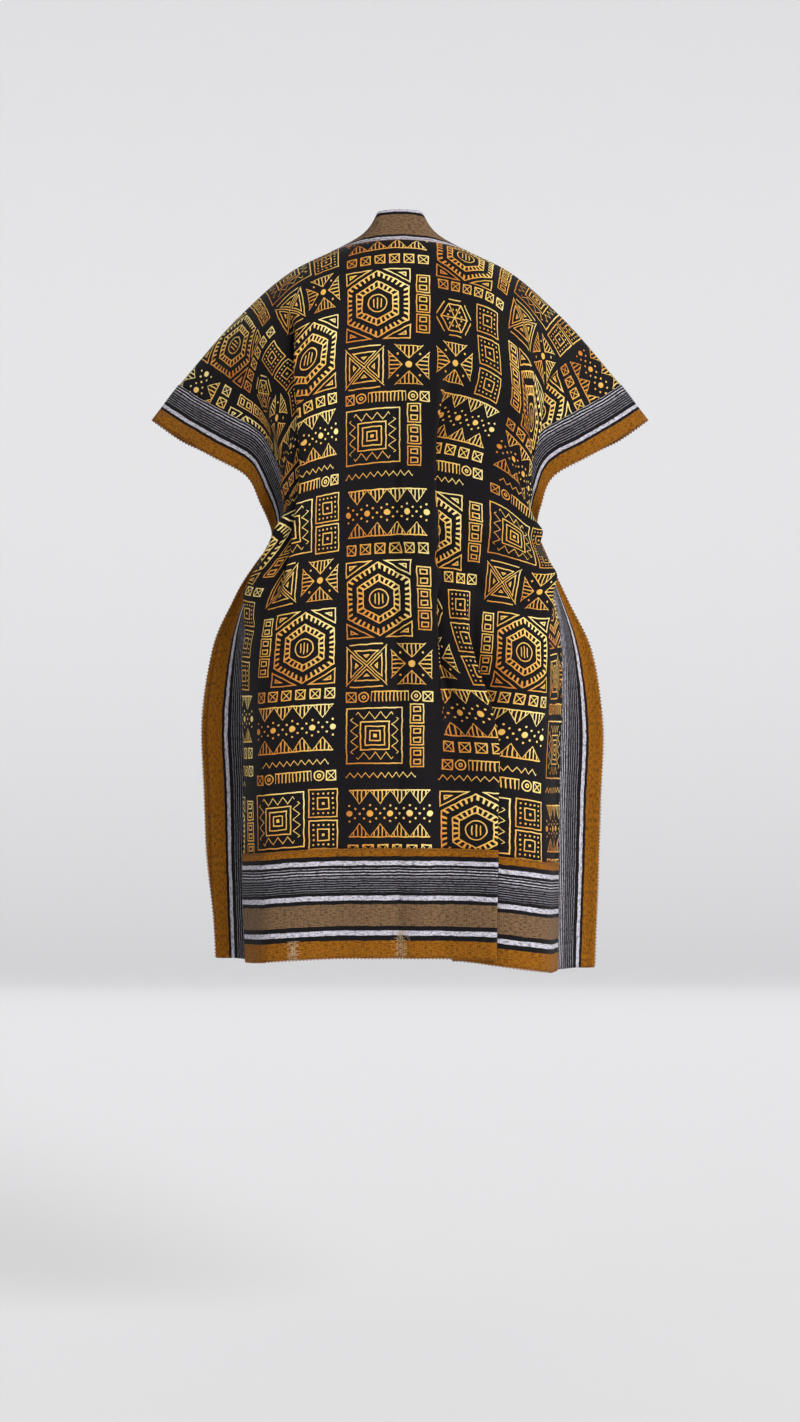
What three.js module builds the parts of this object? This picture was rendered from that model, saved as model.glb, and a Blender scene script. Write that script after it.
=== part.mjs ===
// Open-fronted kimono of printed cotton, trimmed with hand-woven aso oke strip, in the pose in which it is
// worn: held up at the neck and shoulders, with the sleeves over raised elbows, and hollow inside.
//
// The garment is one wide rectangle, cut as a back and two fronts that meet on the shoulder line. An aso oke
// band runs down both side edges and a deeper one runs round the hem. A third runs up the front edges and round
// the neck, where it stands as a collar.
//
// Units are millimetres. +X is the wearer's right, +Y the wearer's front and +Z up. The origin is in the middle
// of the neck, under the shoulder line and level with the back of the neckline.
//
// Every piece is drawn from cloth coordinates. `a` runs across from the centre line, and is positive at the
// right. `v` runs down from the shoulder line, and is positive over the back and negative over the front.
import * as THREE from "three";

// Cut sizes
const HALF_WIDTH = 440;
const LENGTH = 1030;
const SIDE_BAND = 62;
const HEM_BAND = 146;
const COLLAR_BAND = 45;
const NECK_HALF = 105;
const NECK_DROP = 50;
const FRONT_EDGE = 62;
const FRONT_NECK_DEPTH = 230;
const PANEL_HALF = HALF_WIDTH - SIDE_BAND;
const PANEL_LENGTH = LENGTH - HEM_BAND;

// Cloth
const PRINT_WALL = 1.6;
const BAND_WALL = 2.2;
const SEAM_GAP = 0.3;
const FOLD_RADIUS = 4;

// The drape, a row for each level of the cloth. Each row gives five points across the right half: on the centre
// line, behind the shoulder, at the turn of the side, at the seam of the side band, and on the outer edge.
const SECTION_COLUMNS = ["v", "centreY", "centreZ", "bladeX", "bladeY", "bladeZ", "turnX", "turnY", "turnZ",
  "seamX", "seamY", "seamZ", "edgeX", "edgeY", "edgeZ"];
const SECTIONS = [
  [-1030, 118, -969, 125, 118, -968, 190, 106, -969, 208, 34, -971, 259, 3, -970],
  [-900, 120, -840, 125, 120, -839, 190, 106, -840, 210, 30, -843, 264, 3, -843],
  [-800, 122, -740, 125, 122, -740, 190, 106, -742, 211, 28, -743, 267, 3, -745],
  [-700, 124, -640, 125, 124, -642, 190, 107, -643, 214, 28, -643, 270, 3, -647],
  [-600, 126, -541, 124, 126, -546, 188, 109, -548, 213, 46, -542, 255, 3, -550],
  [-520, 128, -461, 122, 128, -469, 181, 109, -478, 203, 57, -475, 227, 3, -488],
  [-440, 130, -382, 118, 128, -394, 170, 107, -414, 184, 60, -425, 205, 4, -440],
  [-370, 130, -312, 115, 128, -326, 162, 105, -360, 167, 66, -387, 189, 12, -406],
  [-300, 128, -243, 115, 128, -260, 162, 105, -308, 160, 76, -346, 183, 34, -382],
  [-230, 120, -174, 116, 120, -192, 166, 103, -250, 166, 80, -300, 188, 58, -349],
  [-160, 100, -106, 120, 100, -126, 178, 92, -190, 186, 76, -258, 205, 60, -310],
  [-100, 76, -50, 124, 76, -72, 192, 73, -142, 232, 62, -231, 257, 50, -282],
  [-50, 48, -12, 130, 44, -42, 205, 39, -110, 270, 34, -213, 299, 28, -264],
  [0, 0, 8, 130, 0, -28, 215, 0, -95, 300, 0, -191, 336, 0, -238],
  [50, -50, 0, 128, -46, -38, 205, -42, -108, 270, -34, -212, 300, -28, -262],
  [100, -78, -41, 122, -84, -68, 192, -78, -140, 232, -62, -234, 258, -50, -288],
  [160, -98, -97, 118, -108, -122, 178, -98, -188, 186, -76, -262, 206, -60, -318],
  [230, -114, -165, 116, -124, -188, 166, -110, -248, 166, -80, -304, 189, -58, -357],
  [300, -123, -234, 115, -130, -256, 162, -112, -306, 160, -76, -348, 184, -34, -386],
  [370, -128, -303, 115, -132, -322, 162, -112, -358, 167, -66, -386, 190, -12, -404],
  [440, -130, -373, 118, -134, -388, 170, -114, -412, 184, -60, -424, 206, -4, -438],
  [520, -131, -452, 122, -135, -463, 181, -116, -476, 203, -57, -474, 228, -3, -486],
  [600, -132, -532, 124, -136, -540, 188, -116, -546, 213, -46, -541, 256, -3, -548],
  [700, -132, -631, 125, -135, -636, 190, -114, -641, 214, -28, -642, 271, -3, -645],
  [800, -131, -731, 125, -134, -734, 190, -113, -740, 211, -28, -742, 268, -3, -743],
  [900, -130, -831, 125, -133, -833, 190, -113, -838, 210, -30, -842, 265, -3, -841],
  [1030, -128, -960, 125, -131, -962, 190, -113, -967, 208, -34, -970, 260, -3, -968],
];

// Deep folds, in which the cloth nearer the centre laps over the cloth beyond it. Each grows between `top` and
// `full`, and dies away between `low` and `end`, measured down the cloth.
const FOLD_COLUMNS = ["face", "side", "at", "overlap", "top", "full", "low", "end"];
const FOLDS = [
  ["back", 1, 64, 12, 220, 360, 440, 620],
  ["back", 1, 150, 46, 500, 760, 1100, 1200],
  ["back", 1, 306, 28, 90, 240, 420, 640],
  ["back", -1, 178, 34, 110, 240, 400, 560],
  ["back", -1, 286, 38, 340, 540, 1100, 1200],
  ["front", 1, 190, 28, 180, 420, 1100, 1200],
  ["front", 1, 296, 24, 110, 300, 1100, 1200],
  ["front", -1, 190, 28, 180, 420, 1100, 1200],
  ["front", -1, 296, 24, 110, 300, 1100, 1200],
];

// Soft waves, which swell out of the drape without lapping.
const WAVE_COLUMNS = ["face", "side", "at", "width", "height", "top", "full", "low", "end"];
const WAVES = [
  ["back", 1, 20, 80, 7, 260, 520, 1100, 1200],
  ["back", -1, 90, 110, -6, 420, 700, 1100, 1200],
  ["back", 1, 250, 90, 7, 560, 760, 1100, 1200],
  ["back", 1, 210, 110, 9, 60, 160, 300, 460],
  ["back", -1, 240, 100, 8, 60, 150, 260, 380],
  ["front", 1, 120, 90, 8, 300, 600, 1100, 1200],
  ["front", -1, 130, 90, 7, 300, 600, 1100, 1200],
];

// The left elbow is held closer in, and that side hangs narrower. The skirt hangs a little to the right and is
// lower there, and at the left the front stands out past the back.
const LEFT_TUCK = 14;
const LEFT_TUCK_AT = 370;
const LEFT_TUCK_REACH = 200;
const LEFT_NARROW = 6;
const SKIRT_SHIFT = 4;
const RIGHT_DROP = 13;
const LEFT_FRONT_SPREAD = 9;

const named = (columns, rows) =>
  rows.map((row) => Object.fromEntries(columns.map((name, i) => [name, row[i]])));
const sections = named(SECTION_COLUMNS, SECTIONS);
const folds = named(FOLD_COLUMNS, FOLDS);
const waves = named(WAVE_COLUMNS, WAVES);

const ease = (x, from, to) => {
  const t = Math.min(1, Math.max(0, (x - from) / (to - from)));
  return t * t * (3 - 2 * t);
};
const lerp = THREE.MathUtils.lerp;

// A smooth curve through values at uneven stations.
function through(stations, values, x) {
  let i = 0;
  while (i < stations.length - 2 && x > stations[i + 1]) i++;
  const slope = (j) => {
    const before = Math.max(0, j - 1);
    const after = Math.min(stations.length - 1, j + 1);
    return (values[after] - values[before]) / (stations[after] - stations[before]);
  };
  const span = stations[i + 1] - stations[i];
  const t = (x - stations[i]) / span;
  const t2 = t * t;
  const t3 = t2 * t;
  return (2 * t3 - 3 * t2 + 1) * values[i] + (t3 - 2 * t2 + t) * span * slope(i) +
    (3 * t2 - 2 * t3) * values[i + 1] + (t3 - t2) * span * slope(i + 1);
}

// The smooth line of the drape across one half at level v, as points a few millimetres apart with their run
// from the centre line, and the run at the seam of the side band.
const levels = new Map();
const STEPS = 40;
const FIN_AT = 0.68;
function level(v, side) {
  const key = side * 1e6 + v;
  if (levels.has(key)) return levels.get(key);
  const stations = sections.map((s) => s.v);
  const at = (name) => through(stations, sections.map((s) => s[name]), v);
  const elbow = 1 - ease(Math.abs(Math.abs(v) - LEFT_TUCK_AT), 0, LEFT_TUCK_REACH);
  const tuck = side < 0 ? LEFT_TUCK * elbow + LEFT_NARROW * ease(Math.abs(v), 400, 600) : 0;
  const spread = side < 0 ? LEFT_FRONT_SPREAD * ease(-v, 330, 500) * (1 - ease(-v, 850, LENGTH)) : 0;
  const blade = new THREE.Vector3(at("bladeX"), at("bladeY"), at("bladeZ"));
  const turn = new THREE.Vector3(at("turnX") - tuck / 2, at("turnY"), at("turnZ"));
  const seam = new THREE.Vector3(at("seamX") - tuck + spread, at("seamY"), at("seamZ"));
  const edge = new THREE.Vector3(at("edgeX") - tuck + spread, at("edgeY"), at("edgeZ"));
  // Below the armhole the two edges lie flat together and stand out as a fin.
  const fin = seam.clone().lerp(edge, FIN_AT);
  fin.y = lerp(fin.y, edge.y * 1.2, ease(Math.abs(v), 330, 460));
  const knots = [
    new THREE.Vector3(-blade.x, blade.y, blade.z),
    new THREE.Vector3(0, at("centreY"), at("centreZ")),
    blade, turn, seam, fin, edge,
  ];
  const chord = [0];
  for (let i = 1; i < knots.length; i++) chord.push(chord[i - 1] + knots[i].distanceTo(knots[i - 1]));
  const points = [];
  const runs = [];
  let seamRun = 0;
  for (let i = 1; i < knots.length - 1; i++) {
    for (let k = i === 1 ? 0 : 1; k <= STEPS; k++) {
      const x = lerp(chord[i], chord[i + 1], k / STEPS);
      const p = new THREE.Vector3(...["x", "y", "z"].map((c) => through(chord, knots.map((q) => q[c]), x)));
      runs.push(points.length ? runs.at(-1) + p.distanceTo(points.at(-1)) : 0);
      points.push(p);
    }
    if (knots[i + 1] === seam) seamRun = runs.at(-1);
  }
  const made = { points, runs, seamRun };
  levels.set(key, made);
  return made;
}

// The point of the smooth drape at run s from the centre line.
function drape(s, v, side) {
  const { points, runs } = level(v, side);
  const x = Math.min(Math.max(s, 0), runs.at(-1));
  let i = Math.min(runs.length - 2, Math.floor((x / runs.at(-1)) * (runs.length - 1)));
  while (i > 0 && runs[i] > x) i--;
  while (i < runs.length - 2 && runs[i + 1] < x) i++;
  const p = points[i].clone().lerp(points[i + 1], (x - runs[i]) / (runs[i + 1] - runs[i]));
  p.x = side * p.x + SKIRT_SHIFT * ease(Math.abs(v), 450, 650);
  return p;
}

const strength = (f, v) => ease(Math.abs(v), f.top, f.full) * (1 - ease(Math.abs(v), f.low, f.end));
const onThisCloth = (f, v, side) => f.side === side && (f.face === "back") === (v > 0);

// What a deep fold does to cloth at distance q beyond its middle: how far the cloth has run on, less q, and how
// far it has stepped in. The cloth turns back on itself round one bend, runs back for the overlap, and turns
// again.
const LAP_STEPS = 48;
const PAST_THE_FOLD = 1000;
function lap(q, overlap, turn) {
  const bend = Math.PI * FOLD_RADIUS;
  const from = -overlap / 2 - bend;
  const to = overlap / 2 + bend;
  const angle = (x) => turn * Math.min(1, Math.max(0, Math.min(x - from, to - x) / bend));
  const step = (to - from) / LAP_STEPS;
  let run = 0;
  let depth = 0;
  for (let x = from; x < Math.min(q, to); x += step) {
    const width = Math.min(step, Math.min(q, to) - x);
    const middle = angle(x + width / 2);
    run += (Math.cos(middle) - 1) * width;
    depth -= Math.sin(middle) * width;
  }
  return { run, depth };
}

// The run across the folded cloth to cloth coordinate a, and how far the cloth stands out of the drape there.
const LAP_EASING = 95;
const LEAST_STRENGTH = 0.001;
function folded(a, v, side) {
  const laps = folds.filter((f) => onThisCloth(f, v, side) && strength(f, v) > LEAST_STRENGTH).map((f) => {
    const k = strength(f, v);
    return { at: f.at, overlap: f.overlap * k * k, turn: Math.PI * Math.sqrt(k) };
  });
  const runTo = (x) => x + laps.reduce((sum, f) => sum + lap(x - f.at, f.overlap, f.turn).run, 0);
  const run = runTo(a);
  const end = runTo(PANEL_HALF);
  let out = 0;
  for (const f of laps) {
    const middle = runTo(f.at);
    const reach = Math.min(LAP_EASING, end - middle);
    const whole = lap(PAST_THE_FOLD, f.overlap, f.turn).depth;
    out += lap(a - f.at, f.overlap, f.turn).depth - whole * ease(run, middle - reach, middle + reach);
  }
  for (const w of waves.filter((x) => onThisCloth(x, v, side))) {
    const t = (a - w.at) / w.width;
    if (Math.abs(t) < 0.5) out += w.height * strength(w, v) * Math.cos(Math.PI * t) ** 2;
  }
  return { run, out };
}

// The point of the cloth at (a, v).
const REACH = 1.5;
function place(a, v) {
  const side = a < 0 ? -1 : 1;
  const across = Math.abs(a);
  const { runs, seamRun } = level(v, side);
  const { run, out } = folded(Math.min(across, PANEL_HALF), v, side);
  const whole = folded(PANEL_HALF, v, side).run;
  let s = run;
  const fit = (seamRun - FRONT_EDGE) / (whole - FRONT_EDGE);
  if (across > FRONT_EDGE) s = FRONT_EDGE + (run - FRONT_EDGE) * fit;
  if (across > PANEL_HALF) s = lerp(seamRun, runs.at(-1), (across - PANEL_HALF) / SIDE_BAND);
  const p = drape(s, v, side);
  if (side > 0) p.z -= RIGHT_DROP * ease(across, 110, 330) * ease(Math.abs(v), 480, 860);
  if (across >= PANEL_HALF || out === 0) return p;
  const alongA = drape(s + REACH, v, side).sub(drape(s - REACH, v, side)).multiplyScalar(side);
  const alongV = drape(s, v + REACH, side).sub(drape(s, v - REACH, side));
  return p.addScaledVector(alongV.cross(alongA).normalize(), out);
}

// The direction out of the cloth at (a, v), away from the wearer.
function outward(a, v) {
  const clampA = (x) => THREE.MathUtils.clamp(x, -HALF_WIDTH, HALF_WIDTH);
  const clampV = (x) => THREE.MathUtils.clamp(x, -LENGTH, LENGTH);
  const alongA = place(clampA(a + REACH), v).sub(place(clampA(a - REACH), v));
  const alongV = place(a, clampV(v + REACH)).sub(place(a, clampV(v - REACH)));
  return alongV.cross(alongA).normalize();
}

// A point of the cloth with its direction outward. Both pieces of a seam take the direction of the seam line
// itself, so that their cut edges face each other.
function cloth(a, v) {
  const snap = (x, seams) => Math.sign(x) * seams.find((y) => Math.abs(Math.abs(x) - y) < SEAM_GAP) || x;
  const atShoulder = Math.abs(v) < SEAM_GAP;
  return { point: place(a, v), out: outward(snap(a, [PANEL_HALF]), atShoulder ? 0 : snap(v, [PANEL_LENGTH])) };
}

// A closed wall of the given thickness round a grid of points with their outward directions, with rows down and
// columns across.
function wall(grid, thickness) {
  const rows = grid.length;
  const columns = grid[0].length;
  const position = [];
  const index = [];
  for (const offset of [thickness / 2, -thickness / 2]) {
    for (const { point, out } of grid.flat()) {
      position.push(...point.clone().addScaledVector(out, offset).toArray());
    }
  }
  const outer = (j, i) => j * columns + i;
  const inner = (j, i) => rows * columns + outer(j, i);
  const quad = (p, q, r, s) => index.push(p, q, r, p, r, s);
  for (let j = 0; j < rows - 1; j++) {
    for (let i = 0; i < columns - 1; i++) {
      quad(outer(j, i), outer(j + 1, i), outer(j + 1, i + 1), outer(j, i + 1));
      quad(inner(j, i), inner(j, i + 1), inner(j + 1, i + 1), inner(j + 1, i));
    }
  }
  for (let j = 0; j < rows - 1; j++) {
    quad(inner(j + 1, 0), outer(j + 1, 0), outer(j, 0), inner(j, 0));
    quad(outer(j, columns - 1), outer(j + 1, columns - 1), inner(j + 1, columns - 1), inner(j, columns - 1));
  }
  for (let i = 0; i < columns - 1; i++) {
    quad(outer(0, i), outer(0, i + 1), inner(0, i + 1), inner(0, i));
    quad(inner(rows - 1, i + 1), outer(rows - 1, i + 1), outer(rows - 1, i), inner(rows - 1, i));
  }
  const geometry = new THREE.BufferGeometry();
  geometry.setAttribute("position", new THREE.Float32BufferAttribute(position, 3));
  geometry.setIndex(index);
  return geometry;
}

// Stations down the cloth are closer together over the shoulder and at the waist.
const DOWN = [0, 25, 50, 75, 100, 130, 160, 195, 230, 265, 300, 335, 370, 405, 440, 480, 520, 560, 600, 650,
  700, 760, 820, PANEL_LENGTH];
const HEM_DOWN = [PANEL_LENGTH, (PANEL_LENGTH + LENGTH) / 2, LENGTH];

// Stations across it are closer together at the bends of the folds.
const ACROSS_STEP = 24;
function across(face, side, from, to) {
  const near = folds.filter((f) => f.face === face && f.side === side);
  const stations = [];
  for (const f of near) {
    const bend = Math.PI * FOLD_RADIUS;
    for (const k of [0, 1 / 3, 2 / 3, 1]) {
      stations.push(f.at - f.overlap / 2 - bend * (1 - k), f.at + f.overlap / 2 + bend * k);
    }
  }
  const count = Math.round((to - from) / ACROSS_STEP);
  for (let i = 0; i <= count; i++) {
    const a = lerp(from, to, i / count);
    const atEnd = i === 0 || i === count;
    if (atEnd || stations.every((s) => Math.abs(s - a) > ACROSS_STEP / 2)) stations.push(a);
  }
  return stations.sort((p, q) => p - q);
}

const half = SEAM_GAP / 2;
const neckline = (a) => (Math.abs(a) < NECK_HALF ? NECK_DROP * (1 - (Math.abs(a) / NECK_HALF) ** 2.4) : 0);
const frontEdge = (v) => lerp(FRONT_EDGE, NECK_HALF, Math.max(0, 1 + v / FRONT_NECK_DEPTH) ** 1.8);

// Rows of the back start at the neckline in the middle and at the shoulder line beyond it.
const NECK_REACH = 100;
const fromNeck = (a, v) => (v < NECK_REACH ? lerp(neckline(a) + half, NECK_REACH, v / NECK_REACH) : v);

// The fronts' columns crowd away from the front edge where the neck is cut out.
const CROWD_TO = 250;
const fromFrontEdge = (a, v) => {
  const k = Math.max(0, (CROWD_TO - Math.abs(a)) / (CROWD_TO - FRONT_EDGE));
  return a + Math.sign(a) * k * (frontEdge(v) - FRONT_EDGE);
};

// The collar band follows the front edges and the neckline. Down the fronts it lies in the plane of the cloth.
// It leans in over the shoulders and stands up at the back of the neck.
const STAND_LEAN = 0.34;
const SHOULDER_LEAN = 2.0;
const LIE_FLAT_AT = 170;

// `t` runs along the collar's seam from the middle of the back, and is positive at the right.
function neckPoint(t) {
  if (Math.abs(t) < NECK_HALF) return { a: t, v: neckline(t) };
  const v = Math.max(NECK_HALF - Math.abs(t), -LENGTH);
  return { a: Math.sign(t) * frontEdge(v), v };
}

// The point where the collar is sewn, the way it goes from there, its own direction outward, and the direction
// halfway between it and the panel, which both cut edges take.
function collarRoot(t) {
  const { a, v } = neckPoint(t);
  const before = neckPoint(t - REACH);
  const after = neckPoint(t + REACH);
  const point = place(a, v);
  const side = Math.sign(a) || 1;
  const inward = new THREE.Vector3(-point.x, 4 - point.y, 0).normalize();
  const lean = lerp(STAND_LEAN, SHOULDER_LEAN, ease(Math.abs(t), 30, NECK_HALF));
  const standing = new THREE.Vector3(0, 0, 1).addScaledVector(inward, lean).normalize();
  const lying = place(a - 8 * side, v).sub(point).normalize();
  const direction = standing.lerp(lying, ease(-v, 0, LIE_FLAT_AT)).normalize();
  const along = place(before.a, before.v).sub(place(after.a, after.v));
  const out = direction.clone().cross(along).normalize();
  const seam = out.clone().add(outward(a, v)).normalize();
  return { point, direction, out, seam };
}

// Where a panel meets the collar, its edge takes the direction of that seam.
function atNeck(a, v) {
  const made = cloth(a, v);
  const onFrontEdge = v < 0 && Math.abs(a) < frontEdge(v) + SEAM_GAP;
  const onNeckline = v >= 0 && Math.abs(a) <= NECK_HALF && Math.abs(v - neckline(a)) < SEAM_GAP;
  if (onFrontEdge) made.out = collarRoot(Math.sign(a) * (NECK_HALF - v)).seam;
  if (onNeckline) made.out = collarRoot(a).seam;
  return made;
}

const group = new THREE.Group();
function add(name, grid, thickness, color) {
  const material = new THREE.MeshStandardMaterial({ color, roughness: 0.88, metalness: 0 });
  const mesh = new THREE.Mesh(wall(grid, thickness), material);
  mesh.name = name;
  group.add(mesh);
}
const PRINT_COLOR = 0x3a2c18;
const SIDE_COLOR = 0x8a6428;
const HEM_COLOR = 0x6e5c46;
const COLLAR_COLOR = 0x84694c;

// The back and its hem band share their columns.
const backAcross = [
  ...across("back", -1, 0, PANEL_HALF - half).map((a) => -a).reverse(),
  ...across("back", 1, 0, PANEL_HALF - half).slice(1),
];
const panelDown = DOWN.map((v) => Math.min(v, PANEL_LENGTH - half));
const hemDown = HEM_DOWN.map((v) => Math.max(v, PANEL_LENGTH + half));
add("back", panelDown.map((v) => backAcross.map((a) => atNeck(a, fromNeck(a, v)))), PRINT_WALL, PRINT_COLOR);
add("hem_band_back", hemDown.map((v) => backAcross.map((a) => cloth(a, v))), BAND_WALL, HEM_COLOR);

// Each hand has a front with its hem band, and two side bands, which part on the shoulder line.
const bandAcross = [0, 1 / 3, 2 / 3, 1].map((k) => lerp(PANEL_HALF + half, HALF_WIDTH, k));
const fromShoulder = (rows) => rows.map((v) => Math.max(v, half));
const allDown = fromShoulder([...DOWN, HEM_DOWN[1], LENGTH]);
for (const [side, hand] of [[1, "right"], [-1, "left"]]) {
  const fromLeft = (list) => (side > 0 ? list : list.map((a) => -a).reverse());
  const onBack = (rows, columns) => rows.map((v) => columns.map((a) => cloth(a, v)));
  const onFront = (rows, columns) =>
    rows.map((v) => columns.map((a) => atNeck(fromFrontEdge(a, -v), -v))).reverse();
  const frontAcross = fromLeft(across("front", side, FRONT_EDGE + half, PANEL_HALF - half));
  const bandColumns = fromLeft(bandAcross);
  add(`front_${hand}`, onFront(fromShoulder(panelDown), frontAcross), PRINT_WALL, PRINT_COLOR);
  add(`hem_band_front_${hand}`, onFront(hemDown, frontAcross), BAND_WALL, HEM_COLOR);
  add(`side_band_back_${hand}`, onBack(allDown, bandColumns), BAND_WALL, SIDE_COLOR);
  add(`side_band_front_${hand}`, onFront(allDown, bandColumns), BAND_WALL, SIDE_COLOR);
}

// The collar band is one strip from hem to hem.
const collarDown = allDown.slice(1).map((v) => NECK_HALF + v);
const collarNeck = backAcross.filter((a) => Math.abs(a) < NECK_HALF);
const collarRight = [NECK_HALF, ...collarDown];
const collarAlong = [...collarRight.map((t) => -t).reverse(), ...collarNeck, ...collarRight];
const collarUp = [1, 2 / 3, 1 / 3, 0].map((k) => lerp(half, COLLAR_BAND, k));
const collar = collarUp.map((h) => collarAlong.map((t) => {
  const { point, direction, out, seam } = collarRoot(t);
  return { point: point.clone().addScaledVector(direction, h), out: h === half ? seam : out };
}));
add("collar_band", collar, BAND_WALL, COLLAR_COLOR);

export default group;
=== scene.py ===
import functools
import math

import bpy
import numpy as np
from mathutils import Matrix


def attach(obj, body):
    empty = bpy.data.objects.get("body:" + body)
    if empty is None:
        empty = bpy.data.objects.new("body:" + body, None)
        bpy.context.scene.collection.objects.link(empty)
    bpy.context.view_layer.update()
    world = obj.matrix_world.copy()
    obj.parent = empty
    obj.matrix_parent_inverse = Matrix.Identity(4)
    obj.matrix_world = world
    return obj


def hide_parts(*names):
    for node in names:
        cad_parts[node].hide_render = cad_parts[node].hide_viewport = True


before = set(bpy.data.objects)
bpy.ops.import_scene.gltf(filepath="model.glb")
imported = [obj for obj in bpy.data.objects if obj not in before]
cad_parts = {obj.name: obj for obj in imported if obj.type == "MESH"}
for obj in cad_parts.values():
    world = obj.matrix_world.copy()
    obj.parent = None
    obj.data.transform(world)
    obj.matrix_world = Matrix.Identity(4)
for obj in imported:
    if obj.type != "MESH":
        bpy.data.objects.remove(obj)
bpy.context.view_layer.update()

# Camera and studio.
# The garment hangs at shoulder height before a pale sweep of seamless paper. The camera stands four and a
# half metres behind it, level with the small of the back, and wide soft lamps light it from all round.
MM = 0.001
CAMERA_DISTANCE = 4.5
CAMERA_HEIGHT = -0.634
FRAME_HEIGHT = 1.934
SENSOR = 36.0
FLOOR = -1.50
STUDIO_GREY = "#d0d0d1"
SWEEP_RADIUS = 4.0
SWEEP_DEPTH = 6.0
SWEEP_STEPS = 16
STAGE_REACH = 16.0


def colour(code):
    """An sRGB hex colour as linear red, green, blue and alpha."""
    parts = [int(code[i:i + 2], 16) / 255 for i in (1, 3, 5)]
    return [c / 12.92 if c <= 0.04045 else ((c + 0.055) / 1.055) ** 2.4 for c in parts] + [1.0]


def add_object(name, data):
    """An object in the scene that shows the data."""
    made = bpy.data.objects.new(name, data)
    bpy.context.collection.objects.link(made)
    return made


camera = add_object("camera", bpy.data.cameras.new("camera"))
camera.location = (0.0, -CAMERA_DISTANCE, CAMERA_HEIGHT)
camera.rotation_euler = (math.pi / 2, 0, 0)
camera.data.sensor_width = SENSOR
camera.data.lens = SENSOR * CAMERA_DISTANCE / FRAME_HEIGHT
bpy.context.scene.camera = camera

sweep_rows = [(-STAGE_REACH, 0.0), (SWEEP_DEPTH, 0.0)]
for step in range(1, SWEEP_STEPS + 1):
    turn = step / SWEEP_STEPS * math.pi / 2
    sweep_rows.append((SWEEP_DEPTH + SWEEP_RADIUS * math.sin(turn), SWEEP_RADIUS * (1 - math.cos(turn))))
sweep_rows.append((SWEEP_DEPTH + SWEEP_RADIUS, STAGE_REACH))
sweep_points = [(x, y, FLOOR + z) for y, z in sweep_rows for x in (-STAGE_REACH, STAGE_REACH)]
sweep_faces = [(2 * i, 2 * i + 1, 2 * i + 3, 2 * i + 2) for i in range(len(sweep_rows) - 1)]
sweep_mesh = bpy.data.meshes.new("studio_sweep")
sweep_mesh.from_pydata(sweep_points, [], sweep_faces)
sweep_mesh.polygons.foreach_set("use_smooth", [True] * len(sweep_faces))
sweep = add_object("studio_sweep", sweep_mesh)
# Seamless background paper, pale grey and quite matt.
paper = bpy.data.materials.new("seamless_paper")
paper.use_nodes = True
paper_shader = paper.node_tree.nodes["Principled BSDF"]
paper_shader.inputs["Base Color"].default_value = colour(STUDIO_GREY)
paper_shader.inputs["Roughness"].default_value = 0.95
sweep_mesh.materials.append(paper)

LIGHTS = [
    # name, the side it shines from, how soft it is in degrees, strength
    ("key_light", (0.85, -1.0, 0.6), 40, 3.0),
    ("fill_light", (-0.9, -0.8, 0.35), 60, 0.3),
    ("front_light", (-0.3, 1.0, 0.5), 60, 1.5),
    ("top_light", (0.05, 0.1, 1.0), 70, 0.2),
]
for name, (x, y, z), softness, energy in LIGHTS:
    lamp = bpy.data.lights.new(name, "SUN")
    lamp.angle = math.radians(softness)
    lamp.energy = energy
    tilt = math.atan2(math.hypot(x, y), z)
    add_object(name, lamp).rotation_euler = (tilt, 0, math.atan2(y, x) + math.pi / 2)

# A wide lamp below the hem, facing down, which keeps the paper of the floor as pale as the wall.
lamp = bpy.data.lights.new("floor_light", "AREA")
lamp.shape = "RECTANGLE"
lamp.size = 10.0
lamp.size_y = 8.2
lamp.energy = 90.0
add_object("floor_light", lamp).location = (0.0, 1.8, -1.03)

world = bpy.data.worlds.new("studio")
bpy.context.scene.world = world
world.use_nodes = True
sky = world.node_tree.nodes["Background"]
sky.inputs["Color"].default_value = colour("#f1f1f3")
sky.inputs["Strength"].default_value = 0.3
bpy.context.scene.view_settings.view_transform = "Standard"


# Back.
# Plain-weave cotton, screen printed on one side with gold patchwork on black. The panel is cut as a rectangle
# with a scooped neckline, and hangs from the shoulders in a few deep folds. All sizes are in millimetres.
HALF_WIDTH = 440
LENGTH = 1030
SIDE_BAND = 62
HEM_BAND = 146
COLLAR_BAND = 45
NECK_HALF = 105
NECK_DROP = 50
FRONT_EDGE = 62
FRONT_NECK_DEPTH = 230
PANEL_HALF = HALF_WIDTH - SIDE_BAND
PANEL_LENGTH = LENGTH - HEM_BAND
PRINT_THICKNESS = 0.7
BAND_THICKNESS = 1.5
FOLD_RADIUS = 4

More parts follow.
